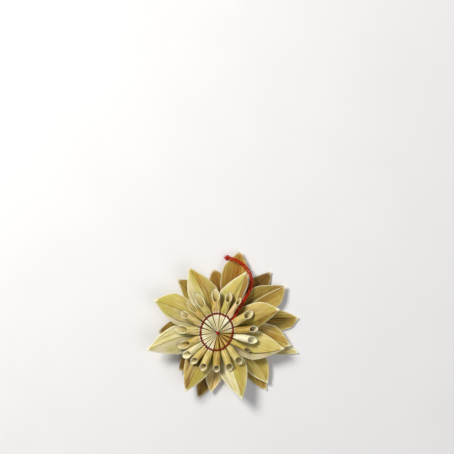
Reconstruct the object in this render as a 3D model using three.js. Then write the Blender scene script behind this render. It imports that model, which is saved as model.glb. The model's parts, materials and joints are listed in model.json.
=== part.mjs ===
// A straw flower star: nine whole straws cross in the middle and end in slanted open tubes, over three
// rosettes of eight petals. Each petal is a straw slit open, pressed flat and folded down its middle.
// Red thread rings the straws and makes the hanger. The star lies on its back, with its face towards +Z.
// Units are millimetres and degrees.

import * as THREE from 'three';

// ---- Driving dimensions ----

const GAP = 0.3;              // kept between neighbouring pieces
const SHEET = 0.45;           // thickness of an opened straw
const WALL = 0.45;            // wall of a straw tube
const TUBE_WIDTH = 4.2;       // outer diameter of a whole straw

// Thread ring, an oval tied a little off the middle, and the pinched disc inside it
const RING_RADIUS = 8.3;
const RING_SHIFT = { x: -0.5, y: 0.55 };
const RING_STRETCH = 0.6;     // added along the oval's long axis and taken off across it
const RING_AXIS = 78;         // compass direction of the long axis
const RING_RIPPLE = 0.15;     // the thread lies this much higher over a straw, and lower between two
const THREAD = 0.8;           // diameter of the thread
const DISC_INNER = 3.0;       // the pleated straws stop here and only thin necks cross the middle
const DISC_HEIGHT = 3.9;      // of the pleats, next to the middle
const RING_HEIGHT = 3.0;      // of a straw where the ring thread holds it
const PLEAT_DEPTH = 0.5;      // of the fold along the top of each pinched straw
const PLEATS_OUT = 1.0;       // the pleats run out this far past the ring
const NECK_THICKNESS = 0.2;
const NECK_STEP = 0.4;        // from one crossing neck up to the next
const BORE_START = 2.6;       // from the ring out to the closed bottom of a straw's bore
const PINCHED_SHARE = 0.85;   // of a straw's width, where it is pinched
const ROUND_START = 0.5;      // from the ring out to where a straw starts to open up
const ROUND_END = 5;          // and to where it is round

// Heights above the lowest line of the back rosette
const DISC_BOTTOM = 5.6;
const RISE = 12;              // slope of the straws, outwards and up
const RISE_START = 6.2;       // from the middle out to where that slope starts

// Ends of the straws: compass direction, reach, width and length of the slanted cut.
// End i and end i + 9 belong to one straw.
const STRAW_ENDS = [
  { at: 6.5, reach: 19.6, width: 3.4, cut: 4.2 },
  { at: 31, reach: 19.8, width: 4.0, cut: 4.8 },
  { at: 56.5, reach: 20.2, width: 2.5, cut: 3.8 },
  { at: 72.5, reach: 20.3, width: 3.4, cut: 4.6 },
  { at: 93, reach: 21.2, width: 4.2, cut: 6.2 },
  { at: 118.5, reach: 21.6, width: 4.2, cut: 7.6 },
  { at: 135, reach: 21.2, width: 3.4, cut: 7.0 },
  { at: 151, reach: 20.4, width: 3.4, cut: 4.2 },
  { at: 174.5, reach: 20.8, width: 4.2, cut: 6.2 },
  { at: 199.5, reach: 20.4, width: 4.0, cut: 6.2 },
  { at: 215, reach: 20.4, width: 4.0, cut: 4.4 },
  { at: 229.5, reach: 19.5, width: 3.6, cut: 3.8 },
  { at: 247, reach: 19.9, width: 3.8, cut: 4.0 },
  { at: 268, reach: 19.0, width: 3.6, cut: 3.6 },
  { at: 289, reach: 19.3, width: 3.8, cut: 3.8 },
  { at: 307.5, reach: 18.9, width: 4.0, cut: 4.0 },
  { at: 330, reach: 17.8, width: 2.6, cut: 3.0 },
  { at: 348.5, reach: 19.4, width: 4.0, cut: 4.6 },
];

// Petals: direction and reach of the tip, widest half on the anticlockwise (left) and clockwise (right)
// side, length over which each half widens from the tip, offset of the fold to the left, slope of each
// half away from the fold, and rise along the petal.
const FRONT_HEEL = { radius: 1.6, height: 4.3 };
const FRONT_PETALS = [
  { at: 113.6, reach: 34.7, left: 6.4, right: 8.6, pointL: 17, pointR: 18, fold: -1.5, slopeL: 0.34, slopeR: 0.34,
    rise: 12 },
  { at: 65.1, reach: 32.4, left: 7.4, right: 4.0, pointL: 17, pointR: 7, fold: -2.2, slopeL: 0.26, slopeR: 0.9,
    rise: 11 },
  { at: 20.5, reach: 32.2, left: 7.3, right: 4.6, pointL: 10.5, pointR: 17, fold: -1.0, slopeL: 0.28, slopeR: 0.7,
    rise: 12 },
  { at: -13.5, reach: 33.2, left: 5.4, right: 9.2, pointL: 17, pointR: 17, fold: -5.8, slopeL: 0.2, slopeR: 0.5,
    rise: 9 },
  { at: -69.7, reach: 34.2, left: 7.9, right: 6.1, pointL: 17, pointR: 17, fold: 0.8, slopeL: 0.3, slopeR: 0.34,
    rise: 12 },
  { at: -118.7, reach: 32.6, left: 6.1, right: 7.5, pointL: 17, pointR: 16, fold: -0.5, slopeL: 0.3, slopeR: 0.3,
    rise: 10 },
  { at: -166.3, reach: 35.2, left: 6.2, right: 8.2, pointL: 19, pointR: 17, fold: -2.1, slopeL: 0.36, slopeR: 0.26,
    rise: 12 },
  { at: 153.1, reach: 34.6, left: 6.0, right: 8.1, pointL: 17, pointR: 9.7, fold: -1.8, slopeL: 0.32, slopeR: 0.3,
    rise: 11 },
];
const FRONT_TAPER = 9;        // a front petal narrows to its heel from here inwards
const TIP_DROOP = 1.2;        // how far a front petal's tip bends down again
const DROOP_LENGTH = 13.6;

const BACK_HEEL = { radius: 1.6, height: 3.05 };
const BACK_CENTRE = { x: 4.6, y: 4.2 };   // the back and low rosettes are tied off the middle
const BACK_PETALS = [
  { at: 138.6, reach: 32.3, left: 5.0, right: 6.8, pointL: 13, pointR: 12, fold: 0.4, slopeL: 0.28, slopeR: 0.28 },
  { at: 80.0, reach: 35.6, left: 6.9, right: 6.4, pointL: 11, pointR: 12, fold: -0.6, slopeL: 0.28, slopeR: 0.28 },
  { at: 32.9, reach: 33.6, left: 8.2, right: 6.6, pointL: 17, pointR: 9.5, fold: 1.8, slopeL: 0.34, slopeR: 0.26 },
  { at: -19.2, reach: 32.6, left: 6.7, right: 5.8, pointL: 12, pointR: 12, fold: 1.0, slopeL: 0.28, slopeR: 0.3 },
  { at: -56, reach: 35.0, left: 6.3, right: 5.0, pointL: 11, pointR: 12, fold: 0.3, slopeL: 0.3, slopeR: 0.28 },
  { at: -103.4, reach: 34.6, left: 4.4, right: 4.8, pointL: 12, pointR: 10, fold: 0, slopeL: 0.28, slopeR: 0.3 },
  { at: -135.2, reach: 33.2, left: 5.4, right: 6.0, pointL: 12, pointR: 12, fold: -0.4, slopeL: 0.3, slopeR: 0.28 },
  { at: -172.8, reach: 34.0, left: 6.2, right: 6.0, pointL: 12, pointR: 12, fold: 0.6, slopeL: 0.28, slopeR: 0.28 },
];
const BACK_TAPER = 23;        // a back or low petal narrows to its heel from here inwards
const HEEL_LENGTH = 7.4;      // over which a back petal comes down from its heel
const BACK_LIFT = 0.9;        // how far a back petal's tip rises off the surface
const LIFT_LENGTH = 9;

// The low rosette shows only between the petals above it
const LOW_DROP = 1.35;        // it lies this far under the back rosette
const LOW_LIFT = 0.5;         // how far a low petal's tip rises off the surface
const LOW_PETALS = [
  { at: 103.8, reach: 27.3, left: 4.6, right: 4.2, pointL: 8, pointR: 7, fold: 0.3, slopeL: 0.1, slopeR: 0.1 },
  { at: 49.4, reach: 32.9, left: 5.0, right: 4.8, pointL: 11, pointR: 10, fold: 0.6, slopeL: 0.1, slopeR: 0.1 },
  { at: 4.2, reach: 34.9, left: 5.0, right: 5.6, pointL: 13, pointR: 7.5, fold: 0.4, slopeL: 0.1, slopeR: 0.1 },
  { at: -22.8, reach: 37.4, left: 4.2, right: 5.4, pointL: 13, pointR: 13, fold: 0.2, slopeL: 0.1, slopeR: 0.1 },
  { at: -59.6, reach: 37.8, left: 5.0, right: 5.0, pointL: 12, pointR: 11, fold: 0, slopeL: 0.1, slopeR: 0.1 },
  { at: -111.2, reach: 39.2, left: 5.0, right: 5.2, pointL: 13, pointR: 15, fold: -0.4, slopeL: 0.1, slopeR: 0.1 },
  { at: -163, reach: 31, left: 4.6, right: 4.8, pointL: 12, pointR: 12, fold: 0.3, slopeL: 0.1, slopeR: 0.1 },
  { at: 165, reach: 31, left: 4.8, right: 4.6, pointL: 12, pointR: 12, fold: -0.3, slopeL: 0.1, slopeR: 0.1 },
];

// Ribs of a petal, from heel to tip
const PETAL_STEPS = [0, 0.14, 0.28, 0.42, 0.54, 0.65, 0.75, 0.84, 0.92, 1];
const LOW_STEPS = [0, 0.3, 0.52, 0.7, 0.86, 1];

const TIP_HALF_WIDTH = 0.25;

// Knots
const TIE_SIZE = { width: 1.5, height: 1.1, z: 9.95 };
const BACK_KNOT_SIZE = { width: 3.0, height: 1.4, z: 1.9 };
const END_KNOT_SIZE = { width: 2.4, height: 2.0 };

// Doubled hanging thread, and its centre line from the thread ring to the end knot
const HANGER_THREAD = 0.7;    // diameter of a strand
const HANGER_SPACING = 1.0;   // between its two strands
const HANGER_ROUTE = [
  [6.7, 6.5, 9.6], [8.0, 8.15, 9.1], [9.35, 10.2, 7.8], [10.7, 12.5, 6.7], [12.1, 14.5, 6.1], [13.7, 17.0, 5.0],
  [15.1, 19.5, 4.2], [16.1, 22.3, 3.6], [16.4, 25.3, 3.4], [15.6, 28.3, 3.1], [13.9, 30.9, 2.8],
  [12.0, 32.9, 2.6], [10.0, 34.2, 2.8], [8.2, 35.0, 3.1], [6.9, 35.4, 3.25], [6.0, 35.65, 3.0],
  [5.3, 35.85, 2.3], [4.95, 36.0, 1.4],
];

// ---- Materials ----

const STRAW_SKIN = { color: 0xd6c98a, roughness: 0.5, metalness: 0 };
const STRAW_INSIDE = { color: 0xc4a963, roughness: 0.7, metalness: 0 };
const DARK_THREAD = { color: 0x7a1c10, roughness: 0.85, metalness: 0 };
const RED_THREAD = { color: 0xb82818, roughness: 0.85, metalness: 0 };

// ---- Helpers ----

const radians = THREE.MathUtils.degToRad;
const smooth = (x, from, to) => THREE.MathUtils.smoothstep(x, from, to);
const mix = THREE.MathUtils.lerp;

/** A unit vector in the plane of the star, at the given compass direction. */
function heading(angle) {
  return new THREE.Vector3(Math.cos(radians(angle)), Math.sin(radians(angle)), 0);
}

/** The direction a quarter turn anticlockwise of a heading. */
function leftOf(direction) {
  return new THREE.Vector3(-direction.y, direction.x, 0);
}

/** One closed body from a row of rings with equal point counts; each end is closed by a fan. */
function loft(rings) {
  const count = rings[0].length;
  const middleOf = (ring) => ring.reduce((sum, p) => sum.add(p), new THREE.Vector3()).divideScalar(count);
  const points = [...rings.flat(), middleOf(rings[0]), middleOf(rings.at(-1))];
  const first = rings.length * count;
  const faces = [];
  for (let j = 0; j < count; j++) {
    const k = (j + 1) % count;
    for (let i = 0; i + 1 < rings.length; i++) {
      const a = i * count;
      const b = a + count;
      faces.push(a + j, b + j, b + k, a + j, b + k, a + k);
    }
    const last = (rings.length - 1) * count;
    faces.push(first, j, k, first + 1, last + k, last + j);
  }
  return closedGeometry(points, faces);
}

/** A geometry from points and triangle corners, turned so that its faces point outwards. */
function closedGeometry(points, faces) {
  let volume = 0;
  for (let i = 0; i < faces.length; i += 3) {
    const [a, b, c] = [points[faces[i]], points[faces[i + 1]], points[faces[i + 2]]];
    volume += a.dot(new THREE.Vector3().crossVectors(b, c));
  }
  const outward = volume > 0 ? faces : faces.slice().reverse();
  const geometry = new THREE.BufferGeometry().setFromPoints(points);
  geometry.setIndex(outward);
  geometry.computeVertexNormals();
  return geometry;
}

/** A named mesh with a material of its own. */
function piece(name, geometry, finish) {
  const mesh = new THREE.Mesh(geometry, new THREE.MeshStandardMaterial(finish));
  mesh.name = name;
  return mesh;
}

/** The smallest turn between two compass directions. */
function turnBetween(a, b) {
  return Math.abs(THREE.MathUtils.euclideanModulo(a - b + 180, 360) - 180);
}

// ---- Straws ----

const STRAW_SIDES = 10;
const TUBE_STEPS = [0.15, 0.7];     // rings of points between a straw's cut and the thread ring
const PLEAT_STEPS = [0.45, 0.8];    // and between the thread ring and the middle of the disc

/** Widest that a straw end may be at a radius, so that it clears both neighbours. */
function roomAt(end, radius) {
  const turns = STRAW_ENDS.filter((other) => other !== end).map((other) => turnBetween(other.at, end.at));
  return 2 * radius * Math.tan(radians(Math.min(...turns) / 2)) - GAP;
}

/** Distance from the middle to the thread ring in a compass direction. */
function ringRadius(angle) {
  const shift = heading(angle).dot(new THREE.Vector3(RING_SHIFT.x, RING_SHIFT.y, 0));
  return RING_RADIUS + shift + RING_STRETCH * Math.cos(radians(2 * (angle - RING_AXIS)));
}

/** Height of the straws' undersides at a radius. */
function strawBottom(radius) {
  return DISC_BOTTOM + Math.max(0, radius - RISE_START) * Math.tan(radians(RISE));
}

/** Width, height and underside of a straw end at a radius. */
function strawSection(end, radius) {
  const ring = ringRadius(end.at);
  const round = smooth(radius, ring + ROUND_START, ring + ROUND_END);
  const width = Math.min(mix(end.width * PINCHED_SHARE, end.width, round), roomAt(end, radius));
  const pinched = mix(DISC_HEIGHT, RING_HEIGHT, smooth(radius, DISC_INNER, ring));
  const height = mix(pinched, TUBE_WIDTH, round);
  return { width, height, bottom: strawBottom(radius) };
}

/** One ring of points round a straw end. `inset` is the wall thickness left outside the ring. */
function strawRing(end, side, radius, cut, inset, pleat) {
  const along = heading(end.at);
  const across = leftOf(along).multiplyScalar(side);
  return Array.from({ length: STRAW_SIDES }, (_, j) => {
    const turn = (j / STRAW_SIDES) * 2 * Math.PI + Math.PI / 2;
    const { height: full } = strawSection(end, radius);
    const lift = 0.5 + Math.sin(turn) * (0.5 - inset / full);
    const reach = radius - cut * lift;
    const { width, height, bottom } = strawSection(end, reach);
    const groove = j === 0 ? pleat : 0;
    const sideways = Math.cos(turn) * (width / 2 - inset);
    return along.clone().multiplyScalar(reach).addScaledVector(across, sideways)
      .setZ(bottom + height * lift - groove);
  });
}

/** The thin flat ring of a neck where the straw starts across the middle, at its own level. */
function neckRing(end, side, level) {
  const along = heading(end.at);
  const across = leftOf(along).multiplyScalar(side);
  const radius = DISC_INNER - GAP;
  const width = roomAt(end, radius);
  return Array.from({ length: STRAW_SIDES }, (_, j) => {
    const turn = (j / STRAW_SIDES) * 2 * Math.PI + Math.PI / 2;
    return along.clone().multiplyScalar(radius).addScaledVector(across, Math.cos(turn) * width / 2)
      .setZ(level + Math.sin(turn) * NECK_THICKNESS / 2);
  });
}

/** Rings of one end of a straw, from the closed bottom of its bore, round the rim and in to the neck. */
function strawEndRings(end, side, level) {
  const ring = ringRadius(end.at);
  const crown = end.reach - end.cut;
  const boreStart = ring + BORE_START;
  const bore = [[boreStart, 0], [(boreStart + crown) / 2, 0], [end.reach, end.cut]];
  const shell = [[end.reach, end.cut], ...TUBE_STEPS.map((step) => [mix(crown, ring, step), 0]), [ring, 0],
    ...PLEAT_STEPS.map((step) => [mix(ring, DISC_INNER, step), 0]), [DISC_INNER, 0]];
  const pleatAt = (radius) => PLEAT_DEPTH * (1 - smooth(radius, ring - 2 * PLEATS_OUT, ring + PLEATS_OUT));
  return [
    ...bore.map(([radius, cut]) => strawRing(end, side, radius, cut, WALL, 0)),
    ...shell.map(([radius, cut]) => strawRing(end, side, radius, cut, 0, pleatAt(radius))),
    neckRing(end, side, level),
  ];
}

/** A whole straw: two hollow ends joined by a pinched neck that crosses the middle at its own level. */
function straw(index) {
  const [end, opposite] = [STRAW_ENDS[index], STRAW_ENDS[index + STRAW_ENDS.length / 2]];
  const level = DISC_BOTTOM + NECK_THICKNESS / 2 + index * NECK_STEP;
  const rings = [...strawEndRings(end, 1, level), ...strawEndRings(opposite, -1, level).reverse()];
  return piece(`straw_${index + 1}`, loft(rings), STRAW_SKIN);
}

// ---- Petals ----

/** Angle from a petal to the line where it meets its neighbour, in proportion to their half widths. */
function shareOfGap(own, neighbour, ownHalf, neighbourHalf) {
  return turnBetween(own.at, neighbour.at) * ownHalf / (ownHalf + neighbourHalf);
}

/** Closed folded leaf with a rib at each step. `surface(radius, sideways, fold)` is the underside's height. */
function petalGeometry(petal, before, after, steps, taper, heel, surface) {
  const along = heading(petal.at);
  const across = leftOf(along);
  const leftShare = Math.tan(radians(shareOfGap(petal, after, petal.left, after.right)));
  const rightShare = Math.tan(radians(shareOfGap(petal, before, petal.right, before.left)));
  const halfAt = (widest, point, share, radius) => {
    const widened = Math.sin(Math.PI / 2 * Math.min(1, (petal.reach - radius) / point));
    const tapered = Math.sin(Math.PI / 2 * Math.min(1, radius / taper));
    return Math.max(TIP_HALF_WIDTH, Math.min(widest * widened * tapered, radius * share - GAP / 2));
  };
  const rings = steps.map((step) => {
    const radius = mix(heel, petal.reach, step);
    const left = halfAt(petal.left, petal.pointL, leftShare, radius);
    const right = halfAt(petal.right, petal.pointR, rightShare, radius);
    const fold = petal.fold * Math.min(left / petal.left, right / petal.right);
    const sides = [left, mix(fold, left, 0.5), fold, mix(fold, -right, 0.5), -right];
    const at = (sideways, lift) => along.clone().multiplyScalar(radius).addScaledVector(across, sideways)
      .setZ(surface(radius, sideways, fold) + lift);
    return [...sides.map((v) => at(v, 0)), ...sides.slice().reverse().map((v) => at(v, SHEET))];
  });
  return loft(rings);
}

/** A front petal is a low roof: the fold is its ridge and it rises outwards, with a drooping tip. */
function frontPetal(index) {
  const petal = FRONT_PETALS[index];
  const before = FRONT_PETALS.at((index + 1) % FRONT_PETALS.length);
  const after = FRONT_PETALS.at(index - 1);
  const surface = (radius, sideways, fold) => {
    const rise = (radius - FRONT_HEEL.radius) * Math.tan(radians(petal.rise));
    const droop = TIP_DROOP * smooth(radius, petal.reach - DROOP_LENGTH, petal.reach) ** 2;
    const slope = sideways > fold ? petal.slopeL : petal.slopeR;
    return FRONT_HEEL.height - SHEET + rise - droop - slope * Math.abs(sideways - fold);
  };
  const geometry = petalGeometry(petal, before, after, PETAL_STEPS, FRONT_TAPER, FRONT_HEEL.radius, surface);
  return piece(`front_petal_${index + 1}`, geometry, STRAW_SKIN);
}

/** A petal of the back or the low rosette is a trough: it lies on its fold, and only its heel and tip lift. */
function troughPetal(name, petals, index, steps, tipLift, drop) {
  const petal = petals[index];
  const before = petals.at((index + 1) % petals.length);
  const after = petals.at(index - 1);
  const surface = (radius, sideways, fold) => {
    const heel = BACK_HEEL.height * (1 - smooth(radius, BACK_HEEL.radius, BACK_HEEL.radius + HEEL_LENGTH));
    const tip = tipLift * smooth(radius, petal.reach - LIFT_LENGTH, petal.reach);
    const slope = sideways > fold ? petal.slopeL : petal.slopeR;
    return heel + tip + slope * Math.abs(sideways - fold) - drop;
  };
  const geometry = petalGeometry(petal, before, after, steps, BACK_TAPER, BACK_HEEL.radius, surface);
  geometry.translate(BACK_CENTRE.x, BACK_CENTRE.y, 0);
  return piece(`${name}_${index + 1}`, geometry, STRAW_INSIDE);
}

// ---- Thread ----

const THREAD_SIDES = 6;
const KNOT_SIDES = { around: 8, down: 6 };
const STRAND_STEP = 2.5;      // diameters of thread from one section of a strand to the next

/** The thread stitched round the straws, a little higher over each straw than between two. */
function ringThread() {
  const steps = 2 * STRAW_ENDS.length;
  const points = [];
  const faces = [];
  for (let i = 0; i < steps; i++) {
    const angle = mix(STRAW_ENDS[Math.floor(i / 2)].at, nextEndAfter(Math.floor(i / 2)), (i % 2) / 2);
    const ring = ringRadius(angle);
    const lift = i % 2 === 0 ? RING_RIPPLE : -RING_RIPPLE;
    const level = strawBottom(ring) + RING_HEIGHT + GAP + THREAD / 2 + lift;
    for (let j = 0; j < THREAD_SIDES; j++) {
      const turn = (j / THREAD_SIDES) * 2 * Math.PI;
      const radius = ring + Math.cos(turn) * THREAD / 2;
      points.push(heading(angle).multiplyScalar(radius).setZ(level + Math.sin(turn) * THREAD / 2));
      const [a, b] = [i * THREAD_SIDES, ((i + 1) % steps) * THREAD_SIDES];
      const k = (j + 1) % THREAD_SIDES;
      faces.push(a + j, b + j, b + k, a + j, b + k, a + k);
    }
  }
  return piece('ring_thread', closedGeometry(points, faces), DARK_THREAD);
}

/** Compass direction of the end after this one, counted past a full turn. */
function nextEndAfter(index) {
  return index + 1 < STRAW_ENDS.length ? STRAW_ENDS[index + 1].at : STRAW_ENDS[0].at + 360;
}

/** A knot as a flattened ball. */
function knot(name, { width, height }, x, y, z, finish) {
  const ball = new THREE.SphereGeometry(0.5, KNOT_SIDES.around, KNOT_SIDES.down);
  ball.rotateX(Math.PI / 2);
  ball.scale(width, width, height);
  ball.translate(x, y, z);
  return piece(name, ball, finish);
}

/** One strand of the doubled hanging thread, beside the centre line of the route. */
function hangerStrand(name, side) {
  const middle = new THREE.CatmullRomCurve3(HANGER_ROUTE.map((p) => new THREE.Vector3(...p)));
  const last = HANGER_ROUTE.length * 2 - 1;
  const samples = Array.from({ length: last + 1 }, (_, i) => {
    const across = leftOf(middle.getTangentAt(i / last)).setZ(0).normalize();
    return middle.getPointAt(i / last).addScaledVector(across, side * HANGER_SPACING / 2);
  });
  const path = new THREE.CatmullRomCurve3(samples);
  const steps = Math.round(path.getLength() / (STRAND_STEP * HANGER_THREAD));
  const outline = new THREE.Shape(Array.from({ length: THREAD_SIDES }, (_, j) => {
    const turn = (j / THREAD_SIDES) * 2 * Math.PI;
    return new THREE.Vector2(Math.cos(turn), Math.sin(turn)).multiplyScalar(HANGER_THREAD / 2);
  }));
  const tube = new THREE.ExtrudeGeometry(outline, { steps, extrudePath: path, bevelEnabled: false });
  return piece(name, tube, RED_THREAD);
}

/** The knot that joins the two strands, just past their ends. */
function hangerKnot() {
  const [before, last] = HANGER_ROUTE.slice(-2).map((p) => new THREE.Vector3(...p));
  const onward = last.clone().sub(before).normalize();
  const spot = last.addScaledVector(onward, END_KNOT_SIZE.width / 2 + GAP);
  return knot('hanger_knot', END_KNOT_SIZE, spot.x, spot.y, END_KNOT_SIZE.height / 2 - LOW_DROP, RED_THREAD);
}

// ---- The star ----

const body = new THREE.Group();
for (let i = 0; i < STRAW_ENDS.length / 2; i++) {
  body.add(straw(i));
}
for (let i = 0; i < FRONT_PETALS.length; i++) {
  body.add(frontPetal(i));
}
for (let i = 0; i < BACK_PETALS.length; i++) {
  body.add(troughPetal('back_petal', BACK_PETALS, i, PETAL_STEPS, BACK_LIFT, 0));
}
for (let i = 0; i < LOW_PETALS.length; i++) {
  body.add(troughPetal('low_petal', LOW_PETALS, i, LOW_STEPS, LOW_LIFT, LOW_DROP));
}
body.add(ringThread());
body.add(knot('centre_tie', TIE_SIZE, 0, 0, TIE_SIZE.z, RED_THREAD));
body.add(knot('back_knot', BACK_KNOT_SIZE, BACK_CENTRE.x, BACK_CENTRE.y, BACK_KNOT_SIZE.z, DARK_THREAD));

const hanger = new THREE.Group();
hanger.add(hangerStrand('hanger_strand_a', 1));
hanger.add(hangerStrand('hanger_strand_b', -1));
hanger.add(hangerKnot());

// The origin is under the middle of the star's box, measured without the hanging thread.
const reach = new THREE.Box3().setFromObject(body);
const middle = reach.getCenter(new THREE.Vector3());
const star = new THREE.Group();
star.add(body, hanger);
star.position.set(-middle.x, -middle.y, -reach.min.z);

export default star;
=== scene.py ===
"""A straw flower star lying on its back on a pale floor: rolled straws, folded petals and red thread,
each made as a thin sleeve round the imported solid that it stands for. Units are metres."""

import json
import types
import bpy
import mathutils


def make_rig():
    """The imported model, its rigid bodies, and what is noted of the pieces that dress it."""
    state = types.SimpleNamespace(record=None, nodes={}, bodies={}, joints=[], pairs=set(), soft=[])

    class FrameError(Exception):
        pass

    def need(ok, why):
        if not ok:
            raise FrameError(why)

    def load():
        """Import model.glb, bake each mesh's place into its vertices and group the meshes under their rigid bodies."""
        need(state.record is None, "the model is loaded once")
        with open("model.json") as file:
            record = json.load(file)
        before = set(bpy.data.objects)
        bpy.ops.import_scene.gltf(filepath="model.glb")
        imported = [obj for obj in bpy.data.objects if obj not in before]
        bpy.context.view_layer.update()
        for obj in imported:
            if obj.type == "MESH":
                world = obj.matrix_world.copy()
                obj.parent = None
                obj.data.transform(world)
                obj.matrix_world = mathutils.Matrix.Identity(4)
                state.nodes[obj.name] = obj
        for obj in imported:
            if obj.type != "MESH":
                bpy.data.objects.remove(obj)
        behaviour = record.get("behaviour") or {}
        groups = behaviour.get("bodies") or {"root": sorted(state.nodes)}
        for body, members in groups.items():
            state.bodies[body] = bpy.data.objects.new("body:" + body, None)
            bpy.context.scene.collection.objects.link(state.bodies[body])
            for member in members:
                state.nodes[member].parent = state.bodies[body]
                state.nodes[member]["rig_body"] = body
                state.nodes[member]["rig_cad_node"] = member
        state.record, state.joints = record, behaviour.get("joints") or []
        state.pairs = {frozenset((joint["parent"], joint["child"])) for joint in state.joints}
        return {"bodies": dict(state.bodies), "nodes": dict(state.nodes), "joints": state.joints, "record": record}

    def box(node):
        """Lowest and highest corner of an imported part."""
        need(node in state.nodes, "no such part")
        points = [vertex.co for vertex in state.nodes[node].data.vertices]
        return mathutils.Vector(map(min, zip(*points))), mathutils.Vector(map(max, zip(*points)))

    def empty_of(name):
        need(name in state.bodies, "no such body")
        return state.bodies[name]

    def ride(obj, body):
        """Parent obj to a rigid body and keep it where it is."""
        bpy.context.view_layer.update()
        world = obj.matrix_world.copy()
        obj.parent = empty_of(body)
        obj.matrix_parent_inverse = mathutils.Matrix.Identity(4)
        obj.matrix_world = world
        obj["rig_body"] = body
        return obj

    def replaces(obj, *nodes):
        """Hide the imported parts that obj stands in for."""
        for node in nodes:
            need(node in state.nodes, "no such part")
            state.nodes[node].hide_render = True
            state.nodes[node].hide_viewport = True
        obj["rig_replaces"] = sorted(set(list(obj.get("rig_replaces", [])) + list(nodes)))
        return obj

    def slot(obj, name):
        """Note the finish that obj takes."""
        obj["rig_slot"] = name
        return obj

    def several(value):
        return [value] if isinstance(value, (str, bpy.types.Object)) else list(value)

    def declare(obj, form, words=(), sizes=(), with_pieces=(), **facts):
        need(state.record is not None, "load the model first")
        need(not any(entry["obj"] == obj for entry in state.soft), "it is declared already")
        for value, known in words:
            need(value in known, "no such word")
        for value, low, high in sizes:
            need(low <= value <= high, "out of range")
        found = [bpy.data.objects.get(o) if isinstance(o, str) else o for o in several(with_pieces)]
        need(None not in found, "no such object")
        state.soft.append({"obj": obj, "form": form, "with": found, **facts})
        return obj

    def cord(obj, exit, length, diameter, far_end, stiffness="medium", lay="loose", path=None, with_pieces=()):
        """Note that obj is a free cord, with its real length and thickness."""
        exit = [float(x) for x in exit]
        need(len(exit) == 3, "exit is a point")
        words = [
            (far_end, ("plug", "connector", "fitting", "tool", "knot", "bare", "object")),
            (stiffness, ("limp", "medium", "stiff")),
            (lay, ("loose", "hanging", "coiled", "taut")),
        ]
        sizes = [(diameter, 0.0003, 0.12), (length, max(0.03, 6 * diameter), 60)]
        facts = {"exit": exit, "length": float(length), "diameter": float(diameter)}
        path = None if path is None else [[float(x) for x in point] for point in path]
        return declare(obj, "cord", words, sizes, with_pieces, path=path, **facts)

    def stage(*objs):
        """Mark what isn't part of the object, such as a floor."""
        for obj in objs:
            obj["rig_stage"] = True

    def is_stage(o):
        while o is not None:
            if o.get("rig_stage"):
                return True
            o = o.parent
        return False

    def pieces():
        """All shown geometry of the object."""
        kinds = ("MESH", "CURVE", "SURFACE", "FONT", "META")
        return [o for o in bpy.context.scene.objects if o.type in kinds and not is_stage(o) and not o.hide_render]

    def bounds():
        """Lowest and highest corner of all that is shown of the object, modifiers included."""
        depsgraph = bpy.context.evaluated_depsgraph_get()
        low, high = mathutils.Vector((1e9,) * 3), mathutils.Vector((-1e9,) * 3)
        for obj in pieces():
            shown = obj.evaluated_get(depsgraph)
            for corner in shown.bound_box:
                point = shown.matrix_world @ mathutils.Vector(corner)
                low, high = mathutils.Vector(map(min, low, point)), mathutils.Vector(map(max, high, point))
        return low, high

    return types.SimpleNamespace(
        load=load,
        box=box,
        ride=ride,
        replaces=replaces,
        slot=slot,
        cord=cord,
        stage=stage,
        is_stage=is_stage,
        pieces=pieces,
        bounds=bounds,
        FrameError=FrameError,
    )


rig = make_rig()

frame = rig.load()

import json
import math
import random

import bmesh
import bpy
from mathutils import Vector, noise

solid_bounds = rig.bounds()

MM = 0.001
CM = 0.01
UP = Vector((0, 0, 1))
FULL_TURN = 2 * math.pi
GROUND = solid_bounds[0].z
SEED_STEP = 7.31                # how far apart in the noise two seeds lie

# ---- Small helpers ----


def mix(a, b, share):
    return a + (b - a) * share


def smooth(x, start, end):
    """0 before start, 1 after end and an S-curve between."""
    t = min(1, max(0, (x - start) / (end - start)))
    return t * t * (3 - 2 * t)


def bell(x, width):
    """1 at 0, and nearly 0 from about two widths on."""
    return math.exp(-(x / width) ** 2)


def heading(angle):
    return Vector((math.cos(angle), math.sin(angle), 0))


def left_of(direction):
    return Vector((-direction.y, direction.x, 0))


def foot_of(point):
    """The point at height 0 straight under another."""
    return Vector((point.x, point.y, 0))


def signed_power(x, exponent):
    """A power that keeps the sign, for superellipses."""
    return math.copysign(abs(x) ** exponent, x)


def wobble(x, y, seed):
    """Smooth noise from -1 to 1, another one for each seed, with about one wave to each step of x or y."""
    return noise.noise(Vector((x, y, seed * SEED_STEP)))


def curve_through(stations):
    """A smooth function through (place, value) pairs that never overshoots them."""
    places = [place for place, _ in stations]
    values = [value for _, value in stations]
    steps = [(values[i + 1] - values[i]) / (places[i + 1] - places[i]) for i in range(len(places) - 1)]
    slopes = [steps[0]]
    for before, after in zip(steps, steps[1:]):
        slopes.append(2 * before * after / (before + after) if before * after > 0 else 0.0)
    slopes.append(steps[-1])

    def value_at(x):
        i = 0
        while i < len(places) - 2 and x > places[i + 1]:
            i += 1
        width = places[i + 1] - places[i]
        t = min(1, max(0, (x - places[i]) / width))
        a = (1 + 2 * t) * (1 - t) ** 2 * values[i] + t * (1 - t) ** 2 * width * slopes[i]
        return a + t * t * (3 - 2 * t) * values[i + 1] + t * t * (t - 1) * width * slopes[i + 1]

    return value_at


def add_object(name, data):
    """Puts a new object in the scene."""
    added = bpy.data.objects.new(name, data)
    bpy.context.collection.objects.link(added)
    return added


def add_mesh(name, body):
    """Puts a finished bmesh in the scene as an object."""
    mesh = bpy.data.meshes.new(name)
    body.to_mesh(mesh)
    body.free()
    return add_object(name, mesh)


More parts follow.
